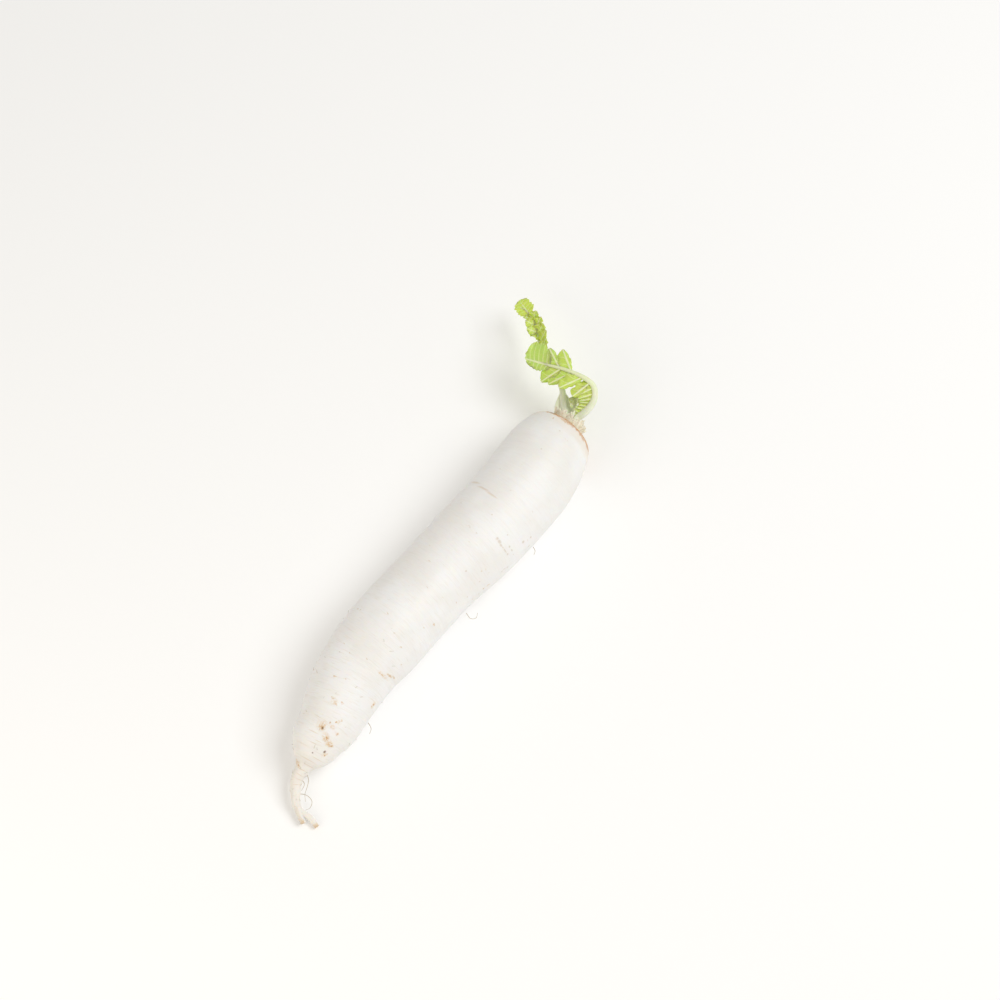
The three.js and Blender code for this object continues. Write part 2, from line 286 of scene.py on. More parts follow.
def fade(value, low, high):
    """0 below low, 1 above high and smooth between them. Low may be the larger of the two."""
    x = min(max((value - low) / (high - low), 0), 1)
    return x * x * (3 - 2 * x)


# %% [markdown]
# ## Finishing a piece
#
# Every piece ends the same way: it is turned into metres, gets smooth shading with its real edges kept
# sharp, and rides on the one body that the part has. A helper does that, so that no piece is forgotten.


# %% Turn a bmesh into a piece of the object
def finish_piece(bm, name, material, node=None, sharp=50):
    """Makes the object, in metres and at the origin, and hides the solid that it stands for."""
    bmesh.ops.recalc_face_normals(bm, faces=bm.faces)
    bmesh.ops.scale(bm, vec=(mm, mm, mm), verts=bm.verts)
    piece = linked_object(name, bm)
    mesh = piece.data
    mesh.polygons.foreach_set("use_smooth", [True] * len(mesh.polygons))
    mesh.set_sharp_from_angle(angle=math.radians(sharp))
    mesh.materials.append(material)
    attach(piece, "root")
    if node:
        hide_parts(node)
    print(name, "has", sum(len(p.vertices) - 2 for p in mesh.polygons), "triangles")
    return piece


# %% [markdown]
# ## Shader helpers
#
# Materials here are made of many small nodes. Wiring them one call at a time is long and hides the idea, so
# one helper makes a node and sets its sockets: a socket given as a value is set, and one given as another
# node's output is linked.


# %% Make a node and set or link its sockets
def node(tree, kind, sockets=None, **settings):
    """A new node of that kind, with its settings made and its input sockets set or linked."""
    made = tree.nodes.new(kind)
    for name, value in settings.items():
        setattr(made, name, value)
    for name, value in (sockets or {}).items():
        if isinstance(value, bpy.types.NodeSocket):
            tree.links.new(value, made.inputs[name])
        else:
            made.inputs[name].default_value = value
    return made


# %% Sums, smooth rises and blends of colours
def maths(tree, operation, a, b=0.0, clamp=False):
    return node(tree, "ShaderNodeMath", {0: a, 1: b}, operation=operation, use_clamp=clamp).outputs[0]


def ramp(tree, value, low, high, to_low=0.0, to_high=1.0):
    """A smooth rise from to_low, where value is low, to to_high, where it is high."""
    made = node(tree, "ShaderNodeMapRange", {"Value": value, "From Min": low, "From Max": high,
                                             "To Min": to_low, "To Max": to_high},
                interpolation_type="SMOOTHSTEP")
    return made.outputs["Result"]


def blend(tree, share, under, over):
    """One colour over another, by a share from 0 to 1."""
    made = node(tree, "ShaderNodeMix", data_type="RGBA", clamp_factor=True)
    factor, first_colour, second_colour = made.inputs["Factor"], made.inputs[6], made.inputs[7]
    for socket, value in ((factor, share), (first_colour, under), (second_colour, over)):
        if isinstance(value, bpy.types.NodeSocket):
            tree.links.new(value, socket)
        else:
            socket.default_value = (*value, 1) if isinstance(value, tuple) else value
    return made.outputs[2]


def tint(tree, colour, over, mask, share):
    """The colour with another one over it where the mask is, as strongly as the share says."""
    return blend(tree, maths(tree, "MULTIPLY", mask, share), colour, over)


# %% A material, its bump and the light inside it
def set_bump(tree, shader, height, strength, distance):
    """Lets the surface look raised by the height times the distance, which is in millimetres."""
    bump = node(tree, "ShaderNodeBump", {"Height": height, "Strength": strength, "Distance": distance * mm})
    tree.links.new(bump.outputs[0], shader.inputs["Normal"])


def set_light_inside(shader, radius, scale):
    """How far red, green and blue light gets inside the material, in millimetres once scaled."""
    shader.inputs["Subsurface Radius"].default_value = radius
    shader.inputs["Subsurface Scale"].default_value = scale * mm


def new_material(name, roughness):
    """A material with its Principled shader, whose plain roughness is set on its own socket."""
    material = bpy.data.materials.new(name)
    material.use_nodes = True
    shader = material.node_tree.nodes["Principled BSDF"]
    shader.inputs["Roughness"].default_value = roughness
    return material, material.node_tree, shader


# %% [markdown]
# ## Two effects that several finishes share
#
# Skin, straw and stalk all show fine streaks that follow how they grew, and all are mottled in cloudy
# patches. Each effect is a node group, built once and placed with its own values. The groups only put
# out masks, so the shaders stay in the materials.


# %% A node group that puts out one mask
def mask_group(name, vectors, numbers=()):
    """The empty group, its input sockets, and the socket that takes its mask."""
    group = bpy.data.node_groups.new(name, "ShaderNodeTree")
    for kind, labels in (("NodeSocketVector", vectors), ("NodeSocketFloat", numbers)):
        for label in labels:
            group.interface.new_socket(name=label, in_out="INPUT", socket_type=kind)
    group.interface.new_socket(name="Mask", in_out="OUTPUT", socket_type="NodeSocketFloat")
    entry = group.nodes.new("NodeGroupInput")
    leave = group.nodes.new("NodeGroupOutput")
    return group, entry.outputs, leave.inputs["Mask"]


def vector_maths(tree, operation, a, b=(0, 0, 0)):
    return node(tree, "ShaderNodeVectorMath", {0: a, 1: b}, operation=operation)


# %% Group: streaks that run round or along a piece
streaks, given, mask_out = mask_group("Streaks", ["Place"], ["Across", "Along", "Low", "High"])
stretch = node(streaks, "ShaderNodeCombineXYZ", {"X": given["Across"], "Y": given["Along"],
                                                 "Z": given["Along"]}).outputs[0]
stretched = vector_maths(streaks, "MULTIPLY", given["Place"], stretch).outputs[0]
lines = node(streaks, "ShaderNodeTexNoise", {"Vector": stretched, "Scale": 1.0, "Detail": 3.0})
streaks.links.new(ramp(streaks, lines.outputs["Fac"], given["Low"], given["High"]), mask_out)
print("inputs of the streaks:", [socket.name for socket in given if socket.name])

# %% Group: cloudy patches
patches, given, mask_out = mask_group("Patches", ["Place"], ["Scale", "Low", "High"])
clouds = node(patches, "ShaderNodeTexNoise", {"Vector": given["Place"], "Scale": given["Scale"],
                                              "Detail": 4.0})
patches.links.new(ramp(patches, clouds.outputs["Fac"], given["Low"], given["High"]), mask_out)
print("groups:", [g.name for g in bpy.data.node_groups])


# %% Place a group in a material, or read what a mesh keeps
def mask_of(tree, group, sockets):
    return node(tree, "ShaderNodeGroup", sockets, node_tree=group).outputs["Mask"]


def streak_mask(tree, place, across, along, low, high):
    sockets = {"Place": place, "Across": across, "Along": along, "Low": low, "High": high}
    return mask_of(tree, streaks, sockets)


def patch_mask(tree, place, scale, low, high):
    return mask_of(tree, patches, {"Place": place, "Scale": scale, "Low": low, "High": high})


def attribute(tree, name):
    return node(tree, "ShaderNodeAttribute", attribute_type="GEOMETRY", attribute_name=name).outputs


# %% [markdown]
# ## Skin of the root
#
# Fresh daikon skin is cream white and slightly see-through, with faint rings across it where it grew, tan
# dashes where rootlets were, orange scuffs from the soil, small beige scars, brown lines in the folds and a
# ragged line of rust round the crown. A texture on plain object coordinates would cut straight through the
# bent root, so every vertex also stores its place on a straightened root: its distance from the crown, and
# where it lies round the axis. Rings and dashes are patterns on that place. Each larger mark is one row of a
# table: the places were measured on the photograph, in millimetres and in degrees of turn, where 0 is the
# right flank and 90 the top. Those with a turn over 180 lie on the hidden underside and are made up.

# %% Orange scuffs: distance from the crown, turn, half length along and half width across
scuffs = [
    (277.2, 82, 2.3, 2.3), (281.5, 63, 2.6, 2.0), (284.0, 47, 1.8, 3.2), (275.0, 51, 1.0, 1.6),
    (272.2, 75, 0.8, 1.0), (269.5, 66, 0.8, 1.1), (267.0, 60, 0.7, 0.9), (256.5, 89, 0.9, 1.9),
    (259.5, 81, 0.8, 1.0), (256.8, 73, 0.7, 1.1), (290.2, 43, 1.5, 1.7), (246.5, 20, 1.8, 1.5),
    (221.5, 29, 1.2, 3.4), (219.8, 21, 0.9, 2.6), (225.6, 42, 0.7, 3.0),
    (123.6, 5.4, 1.5, 1.0), (127.5, 6, 1.1, 0.8),
    (244.0, 101, 0.7, 1.3), (300.9, 148, 1.2, 1.2), (302.2, 129, 1.3, 1.1), (303.4, 111, 1.3, 1.1),
    (175.9, 31, 1.0, 1.5), (140.0, 236, 1.6, 2.8), (10.1, 101, 0.6, 0.7),
    (7.2, 116, 0.8, 4.5), (7.4, 100, 0.9, 5.0), (8.2, 84, 0.8, 4.5),      # along the crown's rim
    (196.0, 290, 1.3, 2.4), (66.0, 205, 1.2, 2.2), (231.0, 215, 1.5, 2.0), (30.0, 320, 1.2, 1.8),
]
# The paler, broken edges round the larger scuffs, in the same columns
pale_scuffs = [
    (276.5, 84, 4.0, 4.2), (280.7, 68, 3.2, 2.6), (283.4, 53, 2.8, 3.6), (273.5, 66, 1.6, 2.5),
    (269.0, 62, 1.5, 2.2), (258.5, 85, 2.0, 2.6), (225.0, 38, 2.0, 6.5), (246.5, 19, 3.4, 2.0),
    (290.4, 44, 2.2, 2.0), (302.2, 129, 2.4, 3.0),
]
print("scuffs:", len(scuffs), "and pale edges:", len(pale_scuffs))

# %% Beige scars, fold lines and dark dots, in the same columns
beige_marks = [
    (102.0, 55, 1.0, 1.2), (102.3, 50, 1.3, 1.9), (103.0, 45, 0.9, 1.5), (102.9, 41, 0.5, 0.9),
    (102.9, 35, 0.55, 2.6), (102.7, 28, 0.8, 1.0), (98.9, 35, 0.8, 1.0), (98.8, 28, 0.6, 1.3),
    (89.2, 24, 1.2, 1.3), (83.0, 19.5, 0.8, 0.9), (86.5, 7, 1.2, 0.8), (111.4, 9.6, 0.8, 0.7),
    (109.2, 9.8, 1.2, 0.6), (106.7, 7.4, 1.0, 0.7), (131.8, 52, 0.9, 0.7), (128.0, 24, 0.6, 0.6),
    (93.4, 81, 0.5, 0.6), (95.3, 49, 0.5, 0.6), (36.4, 86, 0.5, 0.6), (16.5, 80, 0.6, 0.7),
]
# Thin brown lines in the folds and round the end of the root
creases = [
    (79.5, 137, 0.9, 6.5), (81.8, 116, 0.9, 7.0), (82.6, 100, 0.8, 6.0),
    (281.7, 94, 0.35, 4.6), (285.4, 75, 0.3, 3.0), (287.4, 84, 0.3, 3.0), (294.5, 52, 0.3, 5.0),
    (297.5, 75, 0.35, 6.5), (300.5, 50, 0.35, 5.5), (272.8, 100, 0.3, 3.4), (304.5, 85, 0.35, 4.2),
    (308.0, 70, 0.35, 3.4), (311.5, 50, 0.35, 3.2), (316.0, 75, 0.3, 3.0),
]
dark_dots = [
    (277.6, 80, 0.8, 0.9), (289.0, 49, 0.9, 0.9), (292.5, 74, 0.5, 0.6), (150.0, 250, 0.7, 0.8),
    (7.0, 108, 0.5, 4.5),
]
print("beige marks:", len(beige_marks), "fold lines:", len(creases), "dots:", len(dark_dots))

# %% Group: one round mark with a soft edge
mark, given, mask_out = mask_group("Mark", ["Place", "Centre", "Half size"])
offset = vector_maths(mark, "SUBTRACT", given["Place"], given["Centre"]).outputs[0]
scaled = vector_maths(mark, "DIVIDE", offset, given["Half size"]).outputs[0]
reach = vector_maths(mark, "LENGTH", scaled).outputs["Value"]
mark.links.new(ramp(mark, reach, low=1.25, high=0.35), mask_out)
print("inputs of a mark:", [socket.name for socket in given if socket.name])


# %% Place all marks of a table
def root_radius(from_crown):
    return root_line.at(root_line.share_at(root_line.length - from_crown)).w


def all_marks(tree, place, rows):
    """The strongest of the marks at each point."""
    strongest = 0.0
    for from_crown, turn, half_along, half_across in rows:
        radius = root_radius(from_crown)
        round_it = math.radians(turn)
        centre = (from_crown, radius * math.cos(round_it), radius * math.sin(round_it))
        half_size = (half_along, half_across, half_across)
        mask = mask_of(tree, mark, {"Place": place, "Centre": centre, "Half size": half_size})
        strongest = maths(tree, "MAXIMUM", mask, strongest)
    return strongest


# %% Colours of the skin
CREAM, WARM_WHITE = (0.885, 0.869, 0.845), (0.92, 0.915, 0.91)
GREEN_GREY, TAIL_CREAM = (0.78, 0.77, 0.65), (0.865, 0.82, 0.75)
RING_SHADE, TAN, ORANGE = (0.78, 0.73, 0.65), (0.62, 0.42, 0.20), (0.70, 0.43, 0.15)
DEEP_ORANGE, SOIL_BROWN, CROWN_RUST = (0.48, 0.22, 0.05), (0.20, 0.10, 0.045), (0.56, 0.25, 0.05)
HAIR_TAN, BEIGE = (0.42, 0.35, 0.25), (0.55, 0.42, 0.28)
WANDER = 3.0         # how far a scuff's edge wanders, in millimetres
WANDER_SCALE = 0.5   # how often it does so in a millimetre

# %% Plain skin: cloudy white, greener at the shoulder and creamier on the tail
skin, tree, shader = new_material("Root skin", roughness=0.46)
straight = attribute(tree, "straight")["Vector"]
apart = node(tree, "ShaderNodeSeparateXYZ", {0: straight}).outputs
from_crown, towards_right = apart["X"], apart["Y"]
clouds = patch_mask(tree, straight, scale=0.035, low=0.35, high=0.65)
colour = blend(tree, clouds, CREAM, WARM_WHITE)
colour = blend(tree, ramp(tree, from_crown, low=90, high=8, to_high=0.12), colour, GREEN_GREY)
colour = blend(tree, ramp(tree, from_crown, low=275, high=315, to_high=0.8), colour, TAIL_CREAM)
print("plain skin has", len(tree.nodes), "nodes")

# %% The same place, shifted a little to and fro, for dashes and scuffs with uneven edges
wobble = node(tree, "ShaderNodeTexNoise", {"Vector": straight, "Scale": WANDER_SCALE, "Detail": 4.0})
wobble = vector_maths(tree, "SUBTRACT", wobble.outputs["Color"], (0.5, 0.5, 0.5)).outputs[0]
wobble = vector_maths(tree, "MULTIPLY", wobble, (WANDER, WANDER, WANDER)).outputs[0]
wobbly = vector_maths(tree, "ADD", straight, wobble).outputs[0]
print("edges wander by up to", WANDER / 2, "mm")

# %% Growth rings, and tan dashes that get fainter towards the crown
fine_rings = streak_mask(tree, straight, across=1.7, along=0.11, low=0.52, high=0.74)
ring_share = ramp(tree, from_crown, low=20, high=290, to_low=0.18, to_high=0.5)
colour = tint(tree, colour, RING_SHADE, fine_rings, ring_share)
broad_rings = streak_mask(tree, straight, across=0.28, along=0.03, low=0.5, high=0.75)
colour = tint(tree, colour, RING_SHADE, broad_rings, 0.12)

dash_places = vector_maths(tree, "MULTIPLY", wobbly, (0.30, 0.115, 0.115)).outputs[0]
cells = node(tree, "ShaderNodeTexVoronoi", {"Vector": dash_places, "Scale": 1.0}, feature="F1").outputs
cell_draw = node(tree, "ShaderNodeSeparateColor", {0: cells["Color"]}).outputs[0]
in_dash = ramp(tree, cells["Distance"], low=0.15, high=0.05)
dash_mask = maths(tree, "MULTIPLY", in_dash, ramp(tree, cell_draw, low=0.62, high=0.74))
dash_share = ramp(tree, from_crown, low=40, high=200, to_low=0.2, to_high=0.5)
colour = tint(tree, colour, TAN, dash_mask, dash_share)
print("with rings and dashes", len(tree.nodes), "nodes")

# %% The marks of the tables
colour = tint(tree, colour, TAN, all_marks(tree, straight, creases), 0.33)
colour = tint(tree, colour, BEIGE, all_marks(tree, straight, beige_marks), 0.42)
broken = patch_mask(tree, straight, scale=0.9, low=0.36, high=0.58)
pale_mask = maths(tree, "MULTIPLY", all_marks(tree, wobbly, pale_scuffs), broken)
colour = tint(tree, colour, ORANGE, pale_mask, 0.38)
scuff_share = ramp(tree, broken, low=0, high=1, to_low=0.3)
scuff_mask = maths(tree, "MULTIPLY", all_marks(tree, wobbly, scuffs), scuff_share)
colour = tint(tree, colour, ORANGE, scuff_mask, 0.62)
colour = blend(tree, ramp(tree, scuff_mask, low=0.82, high=1.0, to_high=0.5), colour, DEEP_ORANGE)
colour = tint(tree, colour, SOIL_BROWN, all_marks(tree, straight, dark_dots), 0.85)
print("with the marks", len(tree.nodes), "nodes")

# %% A ragged line of rust round the crown, the brown tip of the tail, and the hairs
ragged_edge = maths(tree, "MULTIPLY", patch_mask(tree, straight, scale=0.3, low=0.3, high=0.7), 1.6)
past_shoulder = maths(tree, "SUBTRACT", from_crown, maths(tree, "MULTIPLY", towards_right, 0.06))
past_shoulder = maths(tree, "ADD", past_shoulder, ragged_edge)
inside_line = ramp(tree, past_shoulder, low=8.8, high=7.3)
off_end_face = ramp(tree, from_crown, low=2.0, high=6.2, to_low=0.3)
rust = maths(tree, "MULTIPLY", inside_line, off_end_face)
rust_clouds = patch_mask(tree, straight, scale=0.6, low=0.3, high=0.7)
rust = maths(tree, "MULTIPLY", rust, ramp(tree, rust_clouds, low=0, high=1, to_low=0.6))
colour = tint(tree, colour, ORANGE, ramp(tree, past_shoulder, low=17, high=8, to_high=0.22), clouds)
colour = tint(tree, colour, CROWN_RUST, rust, 0.95)
colour = tint(tree, colour, TAN, ramp(tree, from_crown, low=346, high=350), 0.75)
colour = tint(tree, colour, HAIR_TAN, attribute(tree, "tone")["Fac"], 0.85)
tree.links.new(colour, shader.inputs["Base Color"])
print("with rust and hairs", len(tree.nodes), "nodes")

# %% Sheen, grooves and pores of the skin, and the light inside it
roughness = maths(tree, "ADD", maths(tree, "MULTIPLY", clouds, 0.12), 0.40)
roughness = maths(tree, "ADD", roughness, maths(tree, "MULTIPLY", scuff_mask, 0.25))
tree.links.new(roughness, shader.inputs["Roughness"])
grooves = streak_mask(tree, straight, across=1.5, along=0.05, low=0.3, high=0.8)
pits = maths(tree, "MULTIPLY", dash_mask, 1.2)
height = maths(tree, "SUBTRACT", maths(tree, "MULTIPLY", grooves, -1.0), pits)
pores = node(tree, "ShaderNodeTexNoise", {"Vector": straight, "Scale": 2.2, "Detail": 3.0}).outputs["Fac"]
height = maths(tree, "ADD", height, maths(tree, "MULTIPLY", pores, 0.7))
set_bump(tree, shader, height, strength=0.5, distance=0.12)
tree.links.new(ramp(tree, rust, low=0.0, high=1.0, to_low=0.22, to_high=0.0),
               shader.inputs["Subsurface Weight"])
set_light_inside(shader, radius=(1.0, 0.75, 0.5), scale=2.5)
print("skin is made of", len(tree.nodes), "nodes")

# %% [markdown]
# ## Root
#
# The root and its taproot grew as one, so they are one bar along one line, from the long tip of the tail to
# the crown. Rings are spaced evenly along the profile and not along the line: the shoulder, where the radius
# changes fast, gets as many as it needs. Shallow folds, swellings and wrinkles are real shape, so
# they move the vertices, while the finest rings are left to the skin's bump.


# %% Rings spaced evenly over the surface
def even_shares(line, spacing, samples=3000):
    """Shares of a line whose rings lie the same distance apart when measured over the surface."""
    rows = [line.at(i / samples) for i in range(samples + 1)]
    run = [0.0]
    for here, there in zip(rows, rows[1:]):
        run.append(run[-1] + (there - here).length)
    count = round(run[-1] / spacing)
    shares, i = [], 0
    for k in range(count + 1):
        wanted_run = run[-1] * k / count
        while i < samples - 1 and run[i + 1] < wanted_run:
            i += 1
        part = run[i + 1] - run[i]
        shares.append((i + (wanted_run - run[i]) / part) / samples)
    return shares


# %% Folds across the skin: distance from the crown, turn in degrees, spread round it, depth, width
folds = [
    (81.4, 128, 70, 0.55, 1.6), (121.2, 149, 45, 0.35, 1.6), (208.3, 148, 55, 0.5, 1.8),
    (222.8, 12, 55, 0.6, 1.9), (276.0, 40, 60, 0.3, 1.3), (284.0, 60, 80, 0.3, 1.3),
    (292.0, 80, 120, 0.35, 1.4), (157.0, 262, 60, 0.45, 1.8), (246.0, 230, 70, 0.4, 1.7),
    (56.0, 300, 60, 0.35, 1.7), (300.5, 90, 200, 0.5, 1.3),
]


def fold_depth(from_crown, turn):
    """How deep all the folds together cut at one place, in millimetres."""
    depth = 0.0
    for place, middle, spread, deep, width in folds:
        if abs(from_crown - place) > 4 * width:
            continue
        round_off = abs((math.degrees(turn) - middle + 180) % 360 - 180) / spread
        if round_off < 1:
            profile = math.exp(-((from_crown - place) / width) ** 2)
            depth += deep * profile * math.cos(math.pi / 2 * round_off) ** 2
    return depth


# %% Swellings and wrinkles
BIG_LUMPS, SMALL_LUMPS, RING_WRINKLES = 0.75, 0.22, 0.11    # heights on the body, in millimetres
TAIL_LUMPS, TAIL_WRINKLES = 0.16, 0.15                      # and on the tail


def swelling(from_crown, turn, radius):
    """Soft lumps and wrinkles of the surface, in millimetres."""
    round_it = Vector((math.cos(turn), math.sin(turn)))
    big = noise.noise(Vector((from_crown * 0.022, round_it.x * 0.9, round_it.y * 0.9)))
    small = noise.noise(Vector((from_crown * 0.09, round_it.x * 2.2, round_it.y * 2.2 + 9)))
    rings = noise.noise(Vector((from_crown * 0.42, round_it.x * 1.1, round_it.y * 1.1 + 21)))
    body = fade(radius, 3, 16) * fade(from_crown, 4, 30)
    tail = fade(radius, 12, 5)
    on_body = BIG_LUMPS * big + SMALL_LUMPS * small + RING_WRINKLES * rings
    return body * on_body + tail * (TAIL_WRINKLES * rings + TAIL_LUMPS * small)


# %% Where the root's rings lie
ROOT_SIDES = 132
RING_SPACING = 0.85
root_shares = even_shares(root_line, RING_SPACING)
ring_places = [root_line.at(share) for share in root_shares]
ring_radius = [place.w for place in ring_places]
ring_from_crown = [0.0]
for here, there in zip(ring_places[:0:-1], ring_places[-2::-1]):
    ring_from_crown.append(ring_from_crown[-1] + (there - here).to_3d().length)
ring_from_crown.reverse()
print("the root has", len(root_shares), "rings over", round(ring_from_crown[0]), "mm")


# %% Lay the root's bar on its line
CAP_STEPS = (1.5, 3, 4, 3)    # how far in each ring of the crown's flat end is set


def root_relief(ring, turn):
    from_crown, radius = ring_from_crown[ring], ring_radius[ring]
    blunt_tip = 0.32 * fade(from_crown, ring_from_crown[0] - 15, ring_from_crown[0] - 4)
    return 1 + blunt_tip + (swelling(from_crown, turn, radius) - fold_depth(from_crown, turn)) / radius


def root_values(ring, turn):
    radius = ring_radius[ring]
    return Vector((ring_from_crown[ring], radius * math.cos(turn), radius * math.sin(turn))), 0, 0


root_bm = bar(root_line, ROOT_SIDES, root_shares, root_line.axes, root_values, root_relief)
for v in root_bm.verts:
    v.co.z = max(v.co.z, 0)

caps = [f for f in root_bm.faces if len(f.verts) == ROOT_SIDES]
crown_cap = max(caps, key=lambda f: f.calc_center_median().x)
for step_in in CAP_STEPS:
    bmesh.ops.inset_region(root_bm, faces=[crown_cap], thickness=step_in)
print("root before the fork:", len(root_bm.verts), "vertices")

# %% [markdown]
# ## Fork of the taproot
#
# The taproot ends in two broken tips. One of them is the end of the root's own line. The other is a second
# bar that starts inside the tail: two closed meshes that only cross would leave faces inside, so a
# Boolean modifier joins them and a few rounds of smoothing round off the crotch, as skin grows over it.


# %% Join two closed meshes
def joined(bm, addition):
    """The bmesh with a second closed mesh joined to it by a Boolean modifier."""
    whole, part = linked_object("whole", bm), linked_object("part", addition)
    union = whole.modifiers.new("Union", "BOOLEAN")
    union.operation = "UNION"
    union.solver = "EXACT"
    union.object = part
    evaluated = whole.evaluated_get(bpy.context.evaluated_depsgraph_get())
    result = bmesh.new()
    result.from_mesh(evaluated.to_mesh())
    for made in (whole, part):
        mesh = made.data
        bpy.data.objects.remove(made)
        bpy.data.meshes.remove(mesh)
    return result


# %% The short tip
TIP_SIDES, TIP_SPACING = 20, 0.5
FORK_FROM_TIP = 22      # how far the fork is from the end of the long tip
short_tip = Line(lying(short_tip_stations))
tip_shares = even_shares(short_tip, TIP_SPACING)
fork_from_crown = ring_from_crown[0] - FORK_FROM_TIP


def tip_relief(ring, turn):
    return 1.15 + 0.10 * noise.noise(Vector((ring * 0.35, math.cos(turn), math.sin(turn))))


def tip_values(ring, turn):
    return Vector((fork_from_crown, 0, 0)), 0, 0


root_bm = joined(root_bm, bar(short_tip, TIP_SIDES, tip_shares, short_tip.axes, tip_values, tip_relief))
print("the root with its fork has", len(root_bm.verts), "vertices")

# %% Values of the short tip again, because the union loses them
TAIL_X, NEAR_CROWN = -150, 100    # nothing left of this x can lie so near to the crown
TIP_FOOT_Y, TIP_RADIUS, TIP_STRETCH = -13, 1.8, 1.8
straight, _, _ = value_layers(root_bm)
for v in root_bm.verts:
    if v.co.x < TAIL_X and v[straight].x < NEAR_CROWN:
        v[straight] = (fork_from_crown + TIP_STRETCH * (TIP_FOOT_Y - v.co.y), TIP_RADIUS, 0)
print("the short tip starts", round(fork_from_crown), "mm from the crown")

# %% Smooth the crotch between the tips
CROTCH, CROTCH_REACH, CROTCH_ROUNDS = Vector((-169, -19.5, 4.4)), 3.6, 8
for _ in range(CROTCH_ROUNDS):
    near = [v for v in root_bm.verts if (v.co - CROTCH).length < CROTCH_REACH]
    bmesh.ops.smooth_vert(root_bm, verts=near, factor=0.5, use_axis_x=True, use_axis_y=True, use_axis_z=True)
finish_piece(root_bm, "root_body", skin, node="root")

# %% [markdown]
# ## Rootlets
#
# A few hair-thin rootlets still hang from the tail and the skin. Blender's hair curves would be quick, but
# they are dropped when the model is exported, so each rootlet is a real tapering bar along a curly line.

# %% Long rootlets, four by the tail and three on the right flank: points of x, y, z in millimetres
ROOTLET_WIDTH = 0.5
rootlets = [
    [(-146.5, -8.6, 12.0), (-149, -11.5, 10.0), (-153, -13.2, 8.6), (-157.5, -14.6, 6.8), (-161, -17.5, 5.2)],
    [(-157, -8.5, 8.0), (-158.5, -11.5, 7.0), (-162, -13, 5.6), (-164.5, -15.5, 4.4)],
    [(-160, -10.5, 8.0), (-157.5, -16, 7.4), (-158.5, -21, 6.4), (-162.5, -22.5, 5.0), (-165.5, -20.5, 3.6)],
    [(-151, -8, 9.5), (-152.5, -10.5, 8.0), (-156.5, -11, 6.4)],
    [(7, -29.5, 17), (6.5, -33.5, 14), (9.5, -36, 12.5), (13.0, -34.8, 13.2)],
    [(70, -41.2, 27), (69, -43.5, 25), (66.5, -44.2, 23.6)],
    [(-95, -21.5, 16), (-96.5, -24.8, 13.5), (-100, -26, 12.4)],
]
print("long rootlets:", len(rootlets))

# %% Lay a hair along each row of points
HAIR_PLACE = 310     # hairs get the skin's colour that lies so far from the crown
hair_bm = new_mesh()


def hair_values(ring, turn):
    return Vector((HAIR_PLACE + 0.2 * ring, 0, 0)), 0, 1


def add_hair(whole, points, width, sides, values):
    """A hair that thins from its root to its tip."""
    line = Line([(*point, width / 2 * (1 - 0.65 * i / len(points))) for i, point in enumerate(points)])
    add_part(whole, bar(line, sides, even_shares(line, 0.6, 300), line.axes, values))


for points in rootlets:
    add_hair(hair_bm, points, ROOTLET_WIDTH, 5, hair_values)
print("they have", len(hair_bm.verts), "vertices")


# %% Numbers that look random and are the same each time
class Draw:
    """A row of such numbers, drawn by the same rule as in the solids."""

    def __init__(self, seed):
        self.state = seed
        self.between(0, 1)

    def between(self, low, high):
        keep = 0xFFFFFFFF
        self.state = (self.state + 0x6D2B79F5) & keep
        t = self.state
        t = ((t ^ (t >> 15)) * (t | 1)) & keep
        t ^= (t + (((t ^ (t >> 7)) * (t | 61)) & keep)) & keep
        return low + (high - low) * ((t ^ (t >> 14)) & keep) / (keep + 1)


# %% Short rootlets scattered over the lower root
def on_root(from_crown, turn, lift=0.0):
    """A point on the skin, lifted off it by so much."""
    share = root_line.share_at(root_line.length - from_crown)
    middle = root_line.at(share)
    _, side, over = root_line.axes(share)
    outward = side * math.cos(turn) + over * math.sin(turn)
    return middle.to_3d() + outward * (middle.w + lift)


draw = Draw(5)
SHORT_ROOTLETS = 46
for _ in range(SHORT_ROOTLETS):
    from_crown = draw.between(200, 340)
    turn = draw.between(-0.6, 3.7)
    long = draw.between(1.2, 3.4)
    drift, spin = draw.between(-2.5, 2.5), draw.between(-0.10, 0.10)
    points = [on_root(from_crown + drift * part, turn + spin * part, -0.3 + long * part * (1 - 0.5 * part))
              for part in (0, 0.35, 0.7, 1)]
    if min(point.z for point in points) > 0.5:
        add_hair(hair_bm, points, ROOTLET_WIDTH / 2, 4, hair_values)
finish_piece(hair_bm, "rootlets", skin)

# %% [markdown]
# ## Young leaf finish
#
# The leaves are young and pale: yellow-green blades, nearly white stalks and ribs, and a net of fine
# veins. A photograph of a leaf could be mapped on, but a pattern that reads what the mesh knows stays sharp
# from any side: pale tells stalk from blade, tone makes each lobe a little greener or yellower, and
# the veins' net is drawn on the flattened blade.

# %% Leaf material
LEAF_GREEN, LEAF_YELLOW = (0.45, 0.625, 0.14), (0.61, 0.70, 0.09)
RIB_PALE, STALK_WHITE, VEIN_LIGHT = (0.82, 0.88, 0.52), (0.93, 0.95, 0.78), (0.70, 0.82, 0.32)
STALK_GREEN, MOTTLE_GREEN = (0.66, 0.78, 0.38), (0.53, 0.70, 0.15)

